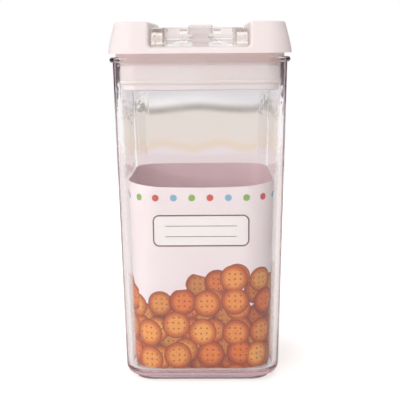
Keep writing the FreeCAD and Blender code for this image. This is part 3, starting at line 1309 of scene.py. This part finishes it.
@dataclass(frozen=True)
class FarWall:
    """The room behind the jar, in soft level bands with two wavy lines.

    The edges of the low, warm and upper bands are measured from the warm line, and the
    others from the shadow line.
    """

    warm_line: WaveLine = WaveLine(level=-0.113, swing=0.0028, turns=106.0, shift=0.082)
    shadow_line: WaveLine = WaveLine(level=-0.0728, swing=0.0018, turns=69.0, shift=0.061)
    middle: Colour = paint(229, 217, 207)
    low: Colour = paint(230, 217, 219)
    low_edge: Span = (0.0, -0.006)
    warm: Colour = paint(227, 207, 183)
    warm_rise: Span = (-0.007, 0.0)
    warm_fall: Span = (0.009, 0.0)
    warm_share: float = 0.8
    upper: Colour = paint(225, 217, 208)
    upper_edge: Span = (0.004, 0.016)
    bright_right: Colour = paint(222, 219, 220)
    bright_left: Colour = paint(245, 242, 242)
    bright_turn: Span = (0.07, -0.07)
    bright_edge: Span = (-0.002, 0.005)
    top: Colour = paint(216, 213, 215)
    top_edge: Span = (0.007, 0.02)
    shadow: Colour = paint(128, 122, 112)
    shadow_rise: Span = (-0.006, 0.0)
    shadow_fall: Span = (0.008, 0.0)
    shadow_share: float = 0.75

    def build(self, wiring: Wiring, way: bpy.types.NodeOutputs) -> bpy.types.NodeSocket:
        """Paints the wall.

        Args:
            wiring: the room's wiring.
            way: the three parts of the direction looked along.

        Returns:
            The colour of the far wall.
        """
        over_warm = self.warm_line.over(wiring, way)
        over_shadow = self.shadow_line.over(wiring, way)
        colour = wiring.blend(wiring.step(over_warm, *self.low_edge), self.middle, self.low)
        warm = wiring.hump(over_warm, self.warm_rise, self.warm_fall)
        colour = wiring.blend(wiring.times(warm, self.warm_share), colour, self.warm)
        colour = wiring.blend(wiring.step(over_warm, *self.upper_edge), colour, self.upper)
        to_left = wiring.step(way["X"], *self.bright_turn)
        bright = wiring.blend(to_left, self.bright_right, self.bright_left)
        colour = wiring.blend(wiring.step(over_shadow, *self.bright_edge), colour, bright)
        colour = wiring.blend(wiring.step(over_shadow, *self.top_edge), colour, self.top)
        shadow = wiring.hump(over_shadow, self.shadow_rise, self.shadow_fall)
        return wiring.blend(wiring.times(shadow, self.shadow_share), colour, self.shadow)


@dataclass(frozen=True)
class PaleRoom:
    """White room with a shaded right side; only clear plastic shows its walls and panels."""

    far_wall: FarWall = FarWall()
    far_edge: Span = (0.93, 0.97)
    far_top: Span = (0.02, -0.02)
    panel_reach: Span = (0.3, 0.45)
    panel_rise: Span = (-0.09, -0.07)
    panel_fall: Span = (0.4, 0.2)
    panel_colour: Colour = (0.12, 0.095, 0.1, 1.0)
    shade_reach: Span = (0.15, 0.8)
    shade_colour: Colour = (0.3, 0.28, 0.28, 1.0)

    def seen_room(self, wiring: Wiring, way: bpy.types.NodeOutputs) -> bpy.types.NodeSocket:
        """Paints what the clear plastic shows: the far wall and dark panels at both sides.

        Args:
            wiring: the room's wiring.
            way: the three parts of the direction looked along.

        Returns:
            The colour of the room.
        """
        ahead = wiring.step(way["Y"], *self.far_edge)
        ahead = wiring.times(ahead, wiring.step(way["Z"], *self.far_top))
        room = wiring.blend(ahead, WHITE, self.far_wall.build(wiring, way))
        sideways = wiring.step(wiring.math("ABSOLUTE", way["X"]), *self.panel_reach)
        band = wiring.hump(way["Z"], self.panel_rise, self.panel_fall)
        return wiring.blend(wiring.times(sideways, band), room, self.panel_colour)

    def build(self) -> None:
        """Makes the room the scene's world."""
        world = bpy.data.worlds.new("pale_room")
        bpy.context.scene.world = world
        world.use_nodes = True
        world.node_tree.nodes.clear()
        wiring = Wiring(world.node_tree)
        output = wiring.add("ShaderNodeOutputWorld")
        way = wiring.split(wiring.add("ShaderNodeTexCoord").outputs["Generated"])
        light = wiring.blend(wiring.step(way["X"], *self.shade_reach), WHITE, self.shade_colour)
        shown = wiring.blend(seen_through(wiring), light, self.seen_room(wiring, way))
        camera_rays = wiring.add("ShaderNodeLightPath").outputs["Is Camera Ray"]
        shown = wiring.blend(camera_rays, shown, WHITE)
        background = wiring.add("ShaderNodeBackground", Color=shown, Strength=1.0)
        wiring.feed(output.inputs["Surface"], background.outputs[0])


def hang(data: bpy.types.Light, place: Triple, aim_height: float) -> None:
    """Hangs a lamp and points it at the jar's upright axis.

    Args:
        data: the lamp.
        place: where it hangs.
        aim_height: height of the point that it is aimed at.
    """
    obj = bpy.data.objects.new(data.name, data)
    bpy.context.scene.collection.objects.link(obj)
    obj.location = place
    aim = Vector((0, 0, aim_height)) - Vector(place)
    obj.rotation_euler = aim.to_track_quat("-Z", "Y").to_euler()


@dataclass(frozen=True)
class Softbox:
    """A square soft lamp, with its power in watts."""

    name: str
    place: Triple
    size: float
    power: float
    aim_height: float = 80 * MM

    def build(self) -> None:
        """Hangs the lamp."""
        data = bpy.data.lights.new(self.name, "AREA")
        data.shape = "SQUARE"
        data.size = self.size
        data.energy = self.power
        hang(data, self.place, self.aim_height)


@dataclass(frozen=True)
class CardSpot:
    """Spotlight that lifts the card behind the clear wall and leaves the lid out."""

    name: str = "card_spot"
    place: Triple = (-0.4, -0.82, 0.2)
    size: float = 30 * MM
    power: float = 3.1
    aim_height: float = 55 * MM
    opening: float = 11.0
    softness: float = 0.4

    def build(self) -> None:
        """Hangs the spotlight."""
        data = bpy.data.lights.new(self.name, "SPOT")
        data.energy = self.power
        data.spot_size = math.radians(self.opening)
        data.spot_blend = self.softness
        data.shadow_soft_size = self.size
        hang(data, self.place, self.aim_height)


@dataclass(frozen=True)
class Studio:
    """The camera, a pale floor in a pale room, and soft light."""

    camera: ViewCamera = ViewCamera()
    floor: PaleFloor = PaleFloor()
    room: PaleRoom = PaleRoom()
    key_lamp: Softbox = Softbox("key_lamp", (-0.45, -0.75, 0.8), size=0.6, power=1.6)
    fill_lamp: Softbox = Softbox("fill_lamp", (0.7, -0.65, 0.5), size=0.7, power=0.4)
    card_spot: CardSpot = CardSpot()
    bounces: int = 40

    def build(self) -> None:
        """Sets up the camera, the floor and the light."""
        bpy.context.scene.view_settings.view_transform = "Standard"
        cycles = bpy.context.scene.cycles
        cycles.max_bounces = self.bounces
        cycles.transmission_bounces = self.bounces
        cycles.glossy_bounces = self.bounces
        for item in (
            self.camera,
            self.floor,
            self.room,
            self.key_lamp,
            self.fill_lamp,
            self.card_spot,
        ):
            item.build()
        LOG.info("set up the studio")


class Finish(Enum):
    """Finishes of the canister, each with its own values."""

    JAR = ClearPlastic("clear_jar_plastic", tint_density=8.5, tint=(0.62, 0.0, 0.14, 1.0))
    HANDLE = ClearPlastic("clear_handle_plastic", tint_density=4.0, tint=(0.6, 0.2, 0.0, 1.0))
    LID = PalePlastic(
        "pale_pink_plastic", paint(249, 238, 236), paint(246, 233, 231), roughness=0.36, glow=0.06
    )
    SEAL = PalePlastic(
        "pink_silicone", paint(255, 246, 243), paint(252, 241, 237), roughness=0.52, glow=0.12
    )
    # Paler copy of the lid's plastic: painted light on the plate, yoke and drive pin, which sit in
    # shade.
    INNER_PAINTED_LIGHT = PalePlastic(
        "inner_pink_painted_light", paint(255, 247, 246), paint(251, 242, 241), roughness=0.38, glow=0.06
    )
    # Deeper pink copy of the lid's plastic: painted shade on the neck under the lid's cover.
    NECK_PAINTED_SHADE = PalePlastic(
        "neck_pink_painted_shade", paint(255, 234, 231), paint(251, 227, 224), roughness=0.4, glow=0.06
    )
    PRINT = PrintedCard("printed_card")
    PLAIN = CardStock("plain_card", paint(246, 219, 224), paint(242, 213, 218))
    CUT_EDGE = CardStock("card_edge", paint(250, 244, 244), paint(240, 228, 230))


NODE_FINISHES = {
    "jar": Finish.JAR,
    "lid_cover": Finish.LID,
    # The lid base takes painted shade.
    "lid_base": Finish.NECK_PAINTED_SHADE,
    # The plate, yoke and drive pin take painted light.
    "pressure_plate": Finish.INNER_PAINTED_LIGHT,
    "draw_yoke": Finish.INNER_PAINTED_LIGHT,
    "handle": Finish.HANDLE,
    "drive_pin": Finish.INNER_PAINTED_LIGHT,
    "hinge_pin_left": Finish.LID,
    "hinge_pin_right": Finish.LID,
}


def dress_frame(made: dict[Finish, bpy.types.Material]) -> None:
    """Gives the frame's own pieces their finishes.

    Args:
        made: the material of each finish.
    """
    for name, finish in NODE_FINISHES.items():
        dress(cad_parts[name], made[finish])
        LOG.info("dressed %s in %s", name, made[finish].name)


def main() -> None:
    """Builds the finishes, the pieces and the studio in order."""
    effects = Effects()
    made = {finish: finish.value.build(effects) for finish in Finish}
    dress_frame(made)
    CardSleeve(made[Finish.PRINT], made[Finish.PLAIN], made[Finish.CUT_EDGE]).build()
    SealRing(made[Finish.SEAL]).build()
    Studio().build()


if __name__ == "__main__":
    main()
